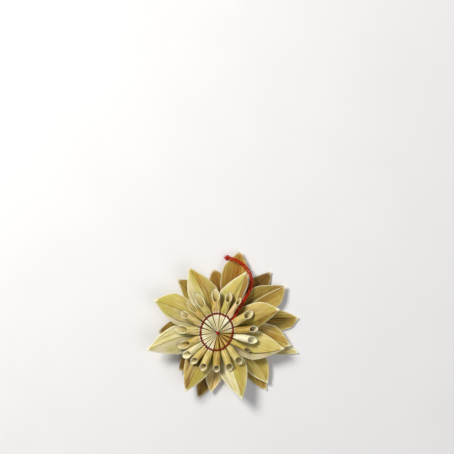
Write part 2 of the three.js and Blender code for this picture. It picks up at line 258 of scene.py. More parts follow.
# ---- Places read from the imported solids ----


def node_points(node, centre):
    """The corners of a solid, measured from the point at height 0 under the centre."""
    foot = foot_of(centre)
    return [v.co - foot for v in frame["nodes"][node].data.vertices]


def middle_of(node):
    """The middle of a solid's box."""
    low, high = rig.box(node)
    return (low + high) / 2


STAR = middle_of("centre_tie")
BACK_STAR = middle_of("back_knot")      # the two rosettes behind are tied here, off the middle
DISC_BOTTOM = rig.box("straw_1")[0].z

# ---- Camera and light ----

VIEW_WIDTH = 218 * MM                           # of the view, at the star
VIEW_DISTANCE = 900 * MM
VIEW_SHIFT = Vector((4.5, 50.9, 0)) * MM        # from the star's middle to the view's


def make_camera():
    """Looks straight down on the star, as on a display lying on a table."""
    camera = add_object("camera", bpy.data.cameras.new("camera"))
    camera.location = foot_of(STAR) + VIEW_SHIFT + UP * VIEW_DISTANCE
    camera.data.lens = camera.data.sensor_width * (VIEW_DISTANCE - STAR.z) / VIEW_WIDTH
    camera.data.clip_start = CM
    bpy.context.scene.camera = camera


def make_lamp(name, place, size, power, colour):
    """A square soft lamp aimed at the star."""
    lamp = add_object(name, bpy.data.lights.new(name, "AREA"))
    lamp.location = place
    lamp.rotation_mode = "QUATERNION"
    lamp.rotation_quaternion = (STAR - Vector(place)).to_track_quat("-Z", "Y")
    lamp.data.size = size
    lamp.data.energy = power
    lamp.data.color = colour


make_camera()

# ---- Sleeves, of which every piece is made ----

PAINTS = ("rim", "inside", "shade", "tone", "warm")   # pale cut edge with painted highlight, inner side, painted shade, paleness, warmth
SHARP_ANGLE = math.radians(42)      # faces that meet at more than this are not shaded as one


class Spot:
    """One point of a sleeve: its place, its pattern coordinates in centimetres, and its paint."""

    def __init__(self, place, uv, **paint):
        self.place = place
        self.uv = uv
        self.paint = paint


def sleeve(name, rows, around, spot_at, ring=False):
    """A sheet rolled up into a sleeve. spot_at(row, turn) places it, turn running from 0 to 1.
    A ring joins its last row to its first, and any other sleeve has its two ends closed."""
    body = bmesh.new()
    uv_layer = body.loops.layers.uv.new("UVMap")
    paints = {key: body.verts.layers.float.new(key) for key in PAINTS}
    last = rows if ring else rows - 1
    made = bmesh.ops.create_grid(body, x_segments=last, y_segments=around, size=1)
    grid, spots = {}, {}
    for vert in made["verts"]:
        row = round((vert.co.x + 1) / 2 * last)
        column = round((vert.co.y + 1) / 2 * around)
        grid[row, column] = vert
        spots[vert] = spot_at(row, column / around)
    for face in body.faces:
        for loop in face.loops:
            loop[uv_layer].uv = spots[loop.vert].uv
    for vert, spot in spots.items():
        vert.co = spot.place
        for key, value in spot.paint.items():
            vert[paints[key]] = value
    seams = {grid[row, around]: grid[row, 0] for row in range(last + 1)}
    if ring:
        for column in range(around):
            seams[grid[last, column]] = grid[0, column]
        seams[grid[last, around]] = grid[0, 0]
    bmesh.ops.weld_verts(body, targetmap=seams)
    edges = [edge for edge in body.edges if edge.is_boundary]
    bmesh.ops.holes_fill(body, edges=edges)
    bmesh.ops.recalc_face_normals(body, faces=body.faces)
    for face in body.faces:
        face.smooth = True
    for edge in body.edges:
        if len(edge.link_faces) == 2 and edge.calc_face_angle() > SHARP_ANGLE:
            edge.smooth = False
    return add_mesh(name, body)


def dress(piece, material, slot, *nodes):
    """Gives a piece its material and says which solids it stands for."""
    piece.data.materials.append(material)
    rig.ride(piece, "root")
    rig.slot(piece, slot)
    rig.replaces(piece, *nodes)


# ---- Materials ----

MIX_SHARE, MIX_A, MIX_B, MIX_RESULT = 0, 6, 7, 2      # the Mix node's sockets for colours


class Value:
    """A shader socket that takes Python arithmetic. Each operation adds a Math node."""

    def __init__(self, finish, socket):
        self.finish = finish
        self.socket = socket

    def math(self, operation, other):
        return self.finish.add("ShaderNodeMath", {0: self, 1: other}, operation=operation)

    def __add__(self, other):
        return self.math("ADD", other)

    def __mul__(self, other):
        return self.math("MULTIPLY", other)

    def __sub__(self, other):
        return self.math("SUBTRACT", other)

    def __rsub__(self, other):
        return (self * -1) + other

    def clamped(self, low, high):
        return self.math("MAXIMUM", low).math("MINIMUM", high)


class Finish:
    """A material and the one way in which its nodes are added."""

    def __init__(self, name):
        self.material = bpy.data.materials.new(name)
        self.material.use_nodes = True
        self.tree = self.material.node_tree
        self.surface = self.tree.nodes["Principled BSDF"]

    def add(self, kind, inputs=(), output=0, stops=(), **settings):
        """Adds a node with its inputs fed, and gives one of its outputs. Stops are for a colour ramp."""
        node = self.tree.nodes.new(kind)
        for key, value in settings.items():
            setattr(node, key, value)
        if stops:
            ramp = node.color_ramp.elements
            while len(ramp) < len(stops):
                ramp.new(0.5)
            for element, (position, colour) in zip(ramp, stops):
                element.position = position
                element.color = (*colour, 1)
        for key, value in dict(inputs).items():
            self.feed(node.inputs[key], value)
        return Value(self, node.outputs[output])

    def feed(self, socket, value):
        """Links a Value to a socket, or sets the socket to a number, a vector or a colour."""
        if isinstance(value, Value):
            self.tree.links.new(value.socket, socket)
        elif hasattr(value, "__len__") and len(value) == 3 and len(socket.default_value) == 4:
            socket.default_value = (*value, 1)
        else:
            socket.default_value = value

    def set(self, **values):
        """Sets or links the surface's own sockets, with _ for a space in their names."""
        for key, value in values.items():
            self.feed(self.surface.inputs[key.replace("_", " ")], value)

    def paint(self, name):
        return self.add("ShaderNodeAttribute", output="Fac", attribute_name=name)

    def speckle(self, stretch, scale, detail, source="UV", roughness=0.5):
        """Noise from 0 to 1, stretched along the straw or across it."""
        place = self.add("ShaderNodeTexCoord", output=source)
        stretched = self.add("ShaderNodeMapping", {"Vector": place, "Scale": stretch})
        inputs = {"Vector": stretched, "Scale": scale, "Detail": detail, "Roughness": roughness}
        return self.add("ShaderNodeTexNoise", inputs, output="Fac")

    def blend(self, share, a, b, how="MIX"):
        inputs = {MIX_SHARE: share, MIX_A: a, MIX_B: b}
        return self.add("ShaderNodeMix", inputs, output=MIX_RESULT, data_type="RGBA", blend_type=how)

    def ramp(self, share, colours):
        """A blend that runs through several colours at even steps."""
        stops = [(i / (len(colours) - 1), colour) for i, colour in enumerate(colours)]
        return self.add("ShaderNodeValToRGB", {"Fac": share}, output="Color", stops=stops)

    def bump(self, height, strength, distance):
        inputs = {"Height": height, "Strength": strength, "Distance": distance}
        self.set(Normal=self.add("ShaderNodeBump", inputs))


def srgb(*channels):
    """A colour as seen on a screen, from 0 to 255, as the linear numbers that a shader takes."""
    return tuple(((c / 255 + 0.055) / 1.055) ** 2.4 if c > 10 else c / 255 / 12.92 for c in channels)


def straw_finish(name, skin, lining, roughness):
    """Dry straw: fine fibres along the stalk, a satin skin, a duller lining, pale cut edges that partly carry painted
    highlights, and painted shade in folds and hollows. Skin and lining each go from deep to pale in four colours."""
    finish = Finish(name)
    inside = finish.paint("inside")
    fibres = finish.speckle((0.35, 9, 1), 9.0, 3.0)
    streaks = finish.speckle((0.12, 2.6, 1), 5.0, 3.0, roughness=0.6)
    clouds = finish.speckle((1, 1, 1), 150.0, 2.0, "Object")
    greens = finish.speckle((0.3, 0.8, 1), 3.0, 1.0)
    stains = finish.speckle((0.25, 1.2, 1), 4.0, 2.0)
    flecks = finish.speckle((0.4, 4, 1), 22.0, 2.0)
    paleness = (finish.paint("tone") + (streaks - 0.5) * 1.1 + (clouds - 0.5) * 0.6).clamped(0, 1)
    warmth = (finish.paint("warm") * (1 - inside * 0.6) + (stains - 0.55) * 1.1).clamped(0, 1)
    outside = finish.blend(((greens - 0.5) * 4).clamped(0, 0.4), finish.ramp(paleness, skin), GREEN)
    colour = finish.blend(inside, outside, finish.ramp(paleness, lining))
    colour = finish.blend(warmth, colour, WARM, how="MULTIPLY")
    colour = finish.blend(((flecks - 0.62) * 6).clamped(0, 0.4), colour, FLECK)
    colour = finish.blend(((fibres - 0.38) * 0.9).clamped(0, 0.25), colour, FLECK)
    # Pale cut edges, with painted highlights on edges, ridges, pleats and mouths
    colour = finish.blend(finish.paint("rim"), colour, PALE_EDGE_AND_HIGHLIGHT)
    # Painted shade in folds, gaps, undersides, bores and necks
    colour = finish.blend(finish.paint("shade"), colour, PAINTED_SHADE_COLOUR)
    finish.set(Base_Color=colour, Roughness=inside * 0.25 + fibres * 0.16 + (roughness - 0.08))
    finish.set(IOR=1.45, Specular_IOR_Level=0.28, Subsurface_Weight=0.2,
               Subsurface_Radius=(1.0, 0.55, 0.2), Subsurface_Scale=0.5 * MM)
    finish.bump(fibres * 0.6 + streaks * 0.5, 0.6, 0.12 * MM)
    return finish.material


def thread_finish(name, colour, dark):
    """Spun thread: fine slanting fibres, painted shade between the plies and a little dusty on top."""
    finish = Finish(name)
    fibres = finish.speckle((2.2, 1.0, 1), 30.0, 3.0)
    worn = finish.speckle((1, 1, 1), 900.0, 2.0, "Object")
    dusty = [min(1, c * 1.6 + extra) for c, extra in zip(colour, DUST)]
    painted_ply_shade = [c * 0.3 for c in dark]
    base = finish.blend((fibres * 1.3 - 0.2).clamped(0, 1), dark, colour)
    base = finish.blend(finish.paint("tone"), base, CRIMSON)
    base = finish.blend((worn * 0.8 - 0.3).clamped(0, 0.25), base, dusty)
    base = finish.blend(finish.paint("shade"), base, painted_ply_shade)
    finish.set(Base_Color=base, Roughness=fibres * 0.2 + 0.65, Specular_IOR_Level=0.15)
    finish.bump(fibres, 0.6, 0.08 * MM)
    return finish.material


def floor_finish():
    finish = Finish("floor")
    grain = finish.speckle((1, 1, 1), 30.0, 3.0, "Object")
    finish.set(Base_Color=finish.blend(grain, srgb(232, 232, 233), srgb(238, 238, 239)), Roughness=0.9)
    return finish.material


DUST = (0.05, 0.015, 0.0)       # added to a thread's colour where it is worn
GREEN = srgb(190, 192, 78)
WARM = srgb(255, 206, 150)
FLECK = srgb(142, 104, 42)
# The colour of painted shade
PAINTED_SHADE_COLOUR = srgb(72, 34, 10)
CRIMSON = srgb(184, 22, 50)
# Pale cut edge colour, also used for painted highlights
PALE_EDGE_AND_HIGHLIGHT = srgb(250, 246, 214)
SKIN = (srgb(142, 110, 46), srgb(196, 170, 84), srgb(220, 206, 132), srgb(240, 234, 194))
FRONT_SKIN = (srgb(138, 106, 40), srgb(194, 168, 76), srgb(214, 202, 118), srgb(236, 230, 188))
# The back and low petals' straw is browner: partly its duller inner face, partly painted shade from layers above
BACK_SKIN_WITH_SHADE = (srgb(112, 84, 30), srgb(162, 134, 54), srgb(194, 178, 90), srgb(226, 218, 158))
LINING = (srgb(118, 90, 36), srgb(174, 148, 72), srgb(204, 188, 110), srgb(230, 222, 164))
BACK_LINING_WITH_SHADE = (srgb(112, 84, 32), srgb(164, 134, 58), srgb(194, 178, 92), srgb(226, 218, 158))

STRAW = straw_finish("straw", SKIN, LINING, 0.42)
FRONT_STRAW = straw_finish("front_straw", FRONT_SKIN, LINING, 0.42)
BACK_STRAW_WITH_SHADE = straw_finish("back_straw", BACK_SKIN_WITH_SHADE, BACK_LINING_WITH_SHADE, 0.5)
DARK_THREAD = thread_finish("dark_thread", srgb(150, 50, 16), srgb(88, 20, 5))
RED_THREAD = thread_finish("red_thread", srgb(222, 58, 24), srgb(156, 26, 8))

# ---- Spun thread ----

AROUND_THREAD = 16
PLY_PITCH = 2.6 * MM            # length in which the two plies turn round each other
PLY_WAIST, PLY_BULGE = 0.8, 0.28    # radius between the plies, and what is added on top of one
PLY_SHADE = 0.75                # how dark the painted shade in the groove between them is
FIBRE_SLANT = (0.12, 0.7)       # of a thread's pattern: along it for each turn, round it for each centimetre
CURVE_STEPS = 12                # between two points of a route
KNOT_STEPS = 90


def smooth_path(points, count):
    """`count` points evenly spaced along a smooth curve through the given ones."""
    dense = []
    for i in range(len(points) - 1):
        a, b, c, d = (points[max(0, min(len(points) - 1, i + k))] for k in (-1, 0, 1, 2))
        for step in range(CURVE_STEPS):
            t = step / CURVE_STEPS
            dense.append(0.5 * (2 * b + (c - a) * t + (2 * a - 5 * b + 4 * c - d) * t * t
                                + (3 * b - a - 3 * c + d) * t ** 3))
    dense.append(points[-1])
    lengths = [0.0]
    for a, b in zip(dense, dense[1:]):
        lengths.append(lengths[-1] + (b - a).length)
    path, k = [], 0
    for i in range(count):
        want = lengths[-1] * i / (count - 1)
        while k < len(dense) - 2 and lengths[k + 1] < want:
            k += 1
        path.append(dense[k].lerp(dense[k + 1], (want - lengths[k]) / (lengths[k + 1] - lengths[k])))
    return path


def path_length(path):
    return sum((b - a).length for a, b in zip(path, path[1:]))


def thread_along(name, path, diameter, ring=False, pitch=PLY_PITCH, tone=0.0):
    """Two-ply thread: a waisted section that turns as it goes along the path."""
    count = len(path)
    step = path_length(path) / (count - 1)
    turns_per_step = step / pitch
    if ring:
        turns_per_step = round(count * turns_per_step) / count

    def spot_at(row, turn):
        here = path[row % count]
        after = path[(row + 1) % count] if ring else path[min(row + 1, count - 1)]
        before = path[(row - 1) % count] if ring else path[max(row - 1, 0)]
        tangent = (after - before).normalized()
        side = tangent.cross(UP).normalized()
        normal = side.cross(tangent)
        angle = FULL_TURN * turn
        ply = math.cos(angle - math.pi * turns_per_step * row) ** 2
        radius = diameter / 2 * (PLY_WAIST + PLY_BULGE * ply ** 0.7)
        place = here + (side * math.cos(angle) + normal * math.sin(angle)) * radius
        run = row * step / CM
        uv = (run + turn * FIBRE_SLANT[0], turn + run * FIBRE_SLANT[1])
        return Spot(place, uv, shade=PLY_SHADE * (1 - ply) ** 3, tone=tone)

    return sleeve(name, count, AROUND_THREAD, spot_at, ring=ring)


def knotted_loop(centre, width, height, steps=KNOT_STEPS, turn=0.0):
    """The closed line of an overhand knot pulled tight, turned by an angle."""
    path = []
    for i in range(steps):
        t = FULL_TURN * i / steps
        x = (math.sin(t) + 2 * math.sin(2 * t)) / 6 * width
        y = (math.cos(t) - 2 * math.cos(2 * t)) / 6 * width
        z = -math.sin(3 * t) / 2 * height
        path.append(centre + Vector((x * math.cos(turn) - y * math.sin(turn),
                                     x * math.sin(turn) + y * math.cos(turn), z)))
    return path


# ---- Hanging thread ----

HANGER_THREAD = 0.7 * MM
HANGER_FULLNESS = 1.04          # a strand is drawn this much wider, to make up for its waists
HANGER_SPREAD = 0.52 * MM       # from the centre line to each strand
HANGER_TWIST = 19 * MM          # length in which the strands sway once round each other and back
HANGER_SWAY = 0.8               # how far they turn round each other then, in radians
HANGER_FLATNESS = 0.7           # how far the sway goes up and down against sideways
HANGER_STEPS = 240
# From the ring thread to the end knot: x and y in mm from the star's middle, height in mm over ROUTE_LEVEL
HANGER_ROUTE = (
    (6.7, 6.5, 9.6), (8.0, 8.15, 9.1), (9.35, 10.2, 7.8), (10.7, 12.5, 6.7), (12.1, 14.5, 6.1),
    (13.7, 17.0, 5.0), (15.1, 19.5, 4.2), (16.1, 22.3, 3.6), (16.4, 25.3, 3.4), (15.6, 28.3, 3.1),
    (13.9, 30.9, 2.8), (12.0, 32.9, 2.6), (10.0, 34.2, 2.8), (8.2, 35.0, 3.1), (6.9, 35.4, 3.25),
    (6.0, 35.65, 3.0), (5.35, 35.75, 2.3), (5.05, 35.75, 1.4), (4.85, 35.7, 0.3),
)
ROUTE_LEVEL = 1.35 * MM         # height of the back rosette
END_KNOT_THREAD = 0.85 * MM
END_KNOT_INSET = 0.3 * MM       # how much narrower the knot's line is than its solid
END_KNOT_HEIGHT = 0.8 * MM      # of that line
END_KNOT_TURN = 0.6
END_KNOT_TONE = 0.8             # how crimson it is
KNOT_SHIFT = 0.7                # how far the knot is drawn towards the ends of the strands
# The frayed tails at the end knot: direction in degrees, length and rise
TAILS = ((112, 0.8 * MM, 0.2 * MM), (146, 1.0 * MM, 0.4 * MM), (186, 1.1 * MM, 0.2 * MM))
TAIL_START = 0.8 * MM           # from the middle of the knot
TAIL_THREAD = 0.3 * MM
TAIL_BEND = 0.3 * MM            # at most, to either side
TAIL_STEPS = 24


def hanger_paths():
    """The lines of the two strands, which sway round each other along the route."""
    start = Vector((STAR.x, STAR.y, ROUTE_LEVEL))
    middle = smooth_path([Vector(p) * MM + start for p in HANGER_ROUTE], HANGER_STEPS)
    step = path_length(middle) / (len(middle) - 1)
    strands = []
    for side in (1, -1):
        path = []
        for i, point in enumerate(middle):
            tangent = (middle[min(i + 1, len(middle) - 1)] - middle[max(i - 1, 0)]).normalized()
            across = left_of(tangent).normalized()
            turn = HANGER_SWAY * math.sin(FULL_TURN * i * step / HANGER_TWIST)
            offset = across * math.cos(turn) + tangent.cross(across) * -math.sin(turn) * HANGER_FLATNESS
            path.append(point + offset * side * HANGER_SPREAD)
        strands.append(path)
    return strands


def make_end_knot(ends):
    """The knot that joins the two strands, and the frayed tails that stick out of it."""
    low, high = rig.box("hanger_knot")
    centre = ((low + high) / 2).lerp(ends, KNOT_SHIFT)
    centre.z = (low.z + high.z) / 2
    line = knotted_loop(centre, high.x - low.x - END_KNOT_INSET, END_KNOT_HEIGHT, turn=END_KNOT_TURN)
    pieces = [thread_along("hanger_knot_tied", line, END_KNOT_THREAD, ring=True, tone=END_KNOT_TONE)]
    for i, (angle, length, rise) in enumerate(TAILS):
        out = heading(math.radians(angle))
        bend = left_of(out) * math.sin(i * 2.4) * TAIL_BEND
        points = [centre + out * TAIL_START, centre + out * (TAIL_START + length / 2) + bend + UP * rise,
                  centre + out * (TAIL_START + length) - bend + UP * rise * 0.6]
        path = smooth_path(points, TAIL_STEPS)
        pieces.append(thread_along(f"hanger_tail_{i + 1}", path, TAIL_THREAD, tone=1.0))
    for piece in pieces:
        dress(piece, RED_THREAD, "red_thread", "hanger_knot")
    return pieces


def make_hanger():
    """The doubled hanging thread with its end knot."""
    strands = hanger_paths()
    pieces = make_end_knot((strands[0][-1] + strands[1][-1]) / 2)
    for name, path in zip(("hanger_strand_a", "hanger_strand_b"), strands):
        strand = thread_along(name + "_spun", path, HANGER_THREAD * HANGER_FULLNESS)
        dress(strand, RED_THREAD, "red_thread", name)
        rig.cord(strand, exit=path[0], length=path_length(path), diameter=HANGER_THREAD, far_end="knot",
                stiffness="limp", lay="loose", path=path, with_pieces=pieces)


make_hanger()

# ---- Straws ----

NARROW_GAP, WIDE_GAP = 0.03 * MM, 0.42 * MM     # between two straws
NARROW_DARK, WIDE_DARK = 0.5, 1.0               # how dark the painted shade in such a gap is
THINNEST = 0.02 * MM            # no straw is drawn narrower or flatter than this
STRAW_COUNT = 9
STRAW_WALL = 0.36 * MM
STRAW_SLOPE = math.tan(math.radians(12))
SQUARE, ROUND = 4.2, 2.0        # power of a straw's superellipse, at the ring and where it is round
ROUND_START, ROUND_END = 0.2 * MM, 4.5 * MM     # from the ring out, where a straw opens up
FULL_HEIGHT = 4 * MM            # from the ring out to where it has its own height
PINCH, PINCH_LENGTH = 0.1, 0.6 * MM             # how much narrower it is under the ring thread
DENT, DENT_WAVES = 0.05, 90     # how much its width varies, and how often in a metre
WIDEST = (1.03, 0.99)           # against its measured width, outside the disc and in it
BORE_START = 2 * MM             # from the ring out to the bottom of a straw's bore
BORE_ROWS = 10
RIM_SHARES = (0.85, 0.5, 0.15)  # of the wall's thickness, where the cut edge has its rows
RIM_BULGE = 0.06 * MM
SKIN_START = 3.5 * MM           # from the ring out to where the slant of the cut has run out
SKIN_ROWS = 18
PLEAT_ROWS = 44
AROUND_STRAW = 96
DISC_EDGE = 0.6 * MM            # the pleats stop here, round the tie
NECK_THICKNESS = 0.16 * MM      # of a straw where it crosses the middle
NECK_WIDTH = 0.2 * MM
NECK_STEP = 0.38 * MM           # from one crossing neck up to the next
NECK_END = 0.8 * DISC_EDGE      # from the middle out
# Painted shade on the necks where the straws cross under the pleats
NECK_DARK = 0.8
PLEAT_SWAY, SWAY_WAVES = 0.16, 250      # how far a fold wanders, in radians round the section, and how often
PLEAT_DEPTH = 0.6 * MM
PLEAT_TILT = 0.3 * MM           # how much higher one edge of a pleat can be than the other
PLEAT_GROWTH = (0.2 * MM, 3.5 * MM)     # from the middle out, where the pleats reach their depth
PLEAT_FADE = 0.5 * MM           # inside the ring, where they start to flatten out again
PLEAT_DARK = 0.95               # how dark the painted shade in the darkest fold is
PLEAT_PALING = (0.15, 0.6)      # where the painted shade of the folds pales towards the middle, in shares of the distance to the ring
CREAM_GROWTH = (0.5, 0.9)       # where the cream of the pleats grows as a painted highlight towards the ring, in the same shares
DISC_FADE = 1.5 * MM            # from the ring out, where the looks of the pleats end
WIDE_TURN = math.radians(42)    # a straw with more room than this has three pleats
TWO_PLEATS = ((-0.4, 0.4),)     # where the folds lie between the edges at -1 and 1
THREE_PLEATS = ((-0.5, -0.2), (0.15, 0.5))
FOLD_DARK = 0.42                # how dark the painted shade in a fold within one straw is
EDGE_GLOW = 0.5                 # painted light on the lining: how the paleness of a cut edge fades from row to row into the bore
OUTER_GLOW = 0.7                # how much of that painted highlight the first row of the skin has
BORE_DARK = 0.7                 # how dark the painted shade at the bottom of a bore is
UNDER_DARK = 0.75               # how dark the painted shade on the underside of a straw is
DISC_SHADE_SIDE = math.radians(-50)     # the pleats take painted shade on this side of the disc, which makes them more brown and less creamy
# Tone and cream of the pleats: what all have, what the palest adds and what the painted shade of the shaded side adds
DISC_TONE = (0.74, 0.5, -0.4)
DISC_CREAM = (0.46, 0.7, -1.1)
DISC_WARMTH = (0.22, 0.6)       # what all have, and what the painted shade of the shaded side adds
DARKEST = 0.95                  # the most painted shade on any place of a straw
# How pale and how warm each open end is and how pale its cut edge, anticlockwise from the one that points
# right. Paleness above 1 adds a painted highlight in the colour of the cut edges
END_LOOKS = (
    (0.30, 0.2, 0.8), (0.62, 0.1, 0.75), (0.90, 0.5, 0.5), (0.50, 0.0, 0.65), (0.70, 0.6, 0.7),
    (0.62, 0.1, 0.7), (0.66, 0.4, 0.45), (0.66, 0.2, 0.6), (0.66, 0.0, 0.65), (0.60, 0.3, 0.55),
    (0.95, 0.0, 0.85), (0.58, 0.3, 0.75), (0.58, 0.1, 0.65), (0.38, 0.1, 0.8), (0.52, 0.2, 0.5),
    (0.58, 0.0, 0.6), (0.42, 0.1, 0.25), (1.60, 0.0, 0.8),
)
# How open the gap after each end is, in the same order
GAP_LOOKS = (0.45, 0.9, 0.1, 0.05, 0.15, 0.2, 0.9, 0.35, 0.15, 0.1, 0.15, 0.3, 0.35, 0.45, 0.4, 0.5, 0.5, 0.6)


def turn_between(a, b):
    return abs((a - b + math.pi) % FULL_TURN - math.pi)


def round_the_ring(pairs):
    """A smooth function of direction through (angle, value) pairs all the way round."""
    ordered = sorted(pairs)
    start, end = ordered[-1], ordered[0]
    return curve_through([(start[0] - FULL_TURN, start[1]), *ordered, (end[0] + FULL_TURN, end[1])])


def measure_ring():
    """Distance and height of the thread ring's centre line, as two functions of direction."""
    sections = {}
    for point in node_points("ring_thread", STAR):
        sections.setdefault(round(math.degrees(math.atan2(point.y, point.x))), []).append(point)
    radii, heights = [], []
    for points in sections.values():
        angle = math.atan2(points[0].y, points[0].x)
        reaches = [p.xy.length for p in points]
        levels = [p.z for p in points]
        radii.append((angle, (min(reaches) + max(reaches)) / 2))
        heights.append((angle, (min(levels) + max(levels)) / 2))
    return round_the_ring(radii), round_the_ring(heights)


ring_radius, ring_height = measure_ring()


class StrawEnd:
    """One open end of a straw, measured on its solid."""

    def __init__(self, points, side):
        tip = max(points, key=lambda p: p.xy.length)
        crown = max(points, key=lambda p: p.z)
        self.side = side
        self.along = foot_of(tip).normalized()
        self.angle = math.atan2(tip.y, tip.x)
        self.across = left_of(self.along) * side
        self.reach = tip.xy.length
        self.cut = self.reach - crown.xy.length
        self.width = 2 * max(abs(p.dot(self.across)) for p in points)
        self.tip_bottom = tip.z
        self.height = crown.z - self.bottom_at(crown.xy.length)
        self.ring = ring_radius(self.angle)
        self.thread = ring_height(self.angle)
        # Share of painted shade, on the side of the disc away from the lamp
        self.brown = max(0, math.cos(self.angle - DISC_SHADE_SIDE)) ** 1.5

    def settle(self, ends):
        """Finds the room on each side, the looks and the pleats, once all the ends are known."""
        order = sorted(ends, key=lambda end: end.angle % FULL_TURN)
        place = order.index(self)
        turns = [turn_between(self.angle, order[place - 1].angle),
                 turn_between(self.angle, order[(place + 1) % len(order)].angle)]
        before, after = (math.tan(turn / 2) for turn in turns)
        self.room = (after, before) if self.side > 0 else (before, after)
        openness = (GAP_LOOKS[place], GAP_LOOKS[place - 1])[::self.side]
        self.gaps = [mix(NARROW_GAP, WIDE_GAP, share) for share in openness]
        dark_left, dark_right = (mix(NARROW_DARK, WIDE_DARK, share) for share in openness)
        self.tone, self.warm, self.rim = END_LOOKS[place]
        rng = random.Random(100 + place)
        self.seed = rng.random() * 40
        spans = TWO_PLEATS if sum(turns) < WIDE_TURN else THREE_PLEATS
        cuts = [(rng.uniform(*span), FOLD_DARK) for span in spans]
        folds = [(-1.0, dark_right), *cuts, (1.0, dark_left)]
        self.pleats = [(start, stop, rng.uniform(-1, 1), rng.uniform(0.1, 1.0))
                       for start, stop in zip(folds, folds[1:])]

    def bottom_at(self, radius):
        return max(DISC_BOTTOM, self.tip_bottom - (self.reach - radius) * STRAW_SLOPE)

    def pleat_at(self, sideways):
        """Depth of the nearest fold, 0 on a crest and 1 in a fold, and how dark its painted shade is.
        Then how high the pleat's tilt puts this place, and how pale the pleat is."""
        for (start, start_dark), (stop, stop_dark), tilt, pale in self.pleats:
            if sideways <= stop:
                break
        share = min(1, max(0, (sideways - start) / (stop - start)))
        dark = start_dark if share < 0.5 else stop_dark
        return 1 - math.sin(math.pi * share) ** 0.6, dark, tilt * (share - 0.5), pale

    def disc_look(self, numbers, pale):
        """Tone or cream of a pleat, from the three numbers that say what it depends on."""
        base, paler, on_shaded_side = numbers
        return base + paler * pale + on_shaded_side * self.brown


def measure_straws():
    """The two ends of each straw, by its number."""
    straws = {}
    for number in range(1, STRAW_COUNT + 1):
        points = node_points(f"straw_{number}", STAR)
        far = max(points, key=lambda p: p.xy.length)
        straws[number] = [StrawEnd([p for p in points if side * p.xy.dot(far.xy) > 0], side)
                          for side in (1, -1)]
    ends = [end for pair in straws.values() for end in pair]
    for end in ends:
        end.settle(ends)
    return straws, ends


STRAWS, STRAW_ENDS = measure_straws()

# Top of the pinched straws against the thread's centre line, by share of the distance to the ring
disc_profile = curve_through([
    (0.0, -0.5 * MM), (0.1, -0.4 * MM), (0.3, -0.05 * MM), (0.6, 0.16 * MM), (0.88, 0.1 * MM),
    (0.96, -0.14 * MM), (1.0, -0.26 * MM), (1.05, -0.12 * MM), (1.14, 0.12 * MM), (1.3, 0.4 * MM),
])


def straw_section(end, radius):
    """The two half widths, bottom and top of a straw end at a radius, and how round it is."""
    past_ring = radius - end.ring
    round_share = smooth(past_ring, ROUND_START, ROUND_END)
    pinch = 1 - PINCH * bell(past_ring, PINCH_LENGTH)
    halves = []
    for room, gap in zip(end.room, end.gaps):
        flat = radius * room - gap / 2
        halves.append(max(THINNEST, min(mix(flat, end.width / 2, round_share), flat) * pinch))
    bottom = end.bottom_at(radius)
    pinched_top = end.thread + disc_profile(radius / end.ring)
    top = mix(pinched_top, bottom + end.height, smooth(past_ring, 0, FULL_HEIGHT))
    return halves, bottom, top, round_share


def straw_spot(end, low_radius, high_radius, turn, inset, rim, inside):
    """A point of a straw end. The cut is slanted: the top lies at high_radius, the bottom at low_radius."""
    angle = FULL_TURN * turn + math.pi / 2
    radius = mix(low_radius, high_radius, 0.5 + 0.5 * math.sin(angle))
    out = radius / end.ring
    halves, bottom, top, round_share = straw_section(end, radius)
    exponent = 2 / mix(SQUARE, ROUND, round_share)
    in_disc = 1 - smooth(radius, end.ring, end.ring + DISC_FADE)
    sway = PLEAT_SWAY * in_disc * wobble(radius * SWAY_WAVES, 2.2, end.seed)
    x = signed_power(math.cos(angle + sway), exponent)
    z = signed_power(math.sin(angle), exponent)

    # The section, dented at random, with the pleats pressed into its top
    dent = 1 + DENT * wobble(radius * DENT_WAVES, math.sin(angle) * 1.5 + math.cos(angle), end.seed)
    half_width = (halves[0] if x > 0 else halves[1]) * min(mix(*WIDEST, in_disc), dent) - inset
    half_height = max(THINNEST, (top - bottom) / 2 - inset)
    fold = 1 - smooth(radius, end.ring - PLEAT_FADE, end.ring + ROUND_END)
    depth, dark, tilt, pale = 0.0, 1.0, 0.0, 0.5
    if z > 0:
        depth, dark, tilt, pale = end.pleat_at(signed_power(math.cos(angle), exponent))
    drop = fold * smooth(radius, *PLEAT_GROWTH) * (depth * PLEAT_DEPTH + tilt * PLEAT_TILT)
    place = foot_of(STAR) + end.along * radius + end.across * x * max(THINNEST, half_width)
    place.z = (bottom + top) / 2 + z * half_height - drop

    # Its paint: painted shade in the folds (fading to the middle), underside and bore, and cream pleats with painted
    # highlight
    dark *= mix(1.0, 0.4 + 0.6 * smooth(out, *PLEAT_PALING), in_disc)
    crease = 0.0 if inside else PLEAT_DARK * dark * depth ** 1.3 * fold + UNDER_DARK * smooth(-z, 0, 0.9)
    # Painted shade deep in the bore
    deep = inside * (1 - smooth(radius, end.ring + BORE_START, end.reach - end.cut)) * BORE_DARK
    # Cream: a painted highlight on ends paler than 1; in the disc, pale pleats with a painted highlight to the ring
    cream = max(0, end.tone - 1)
    if in_disc:
        cream = in_disc * max(0, end.disc_look(DISC_CREAM, pale)) * (0.4 + 0.6 * smooth(out, *CREAM_GROWTH))
    tone = mix(end.tone, end.disc_look(DISC_TONE, pale), in_disc)
    warm = mix(end.warm, DISC_WARMTH[0] + DISC_WARMTH[1] * end.brown, in_disc)
    uv = (radius / CM + end.seed, turn * 1.3 + end.seed)
    return Spot(place, uv, rim=max(rim, cream), inside=inside, shade=min(DARKEST, crease + deep),
                tone=tone, warm=warm)


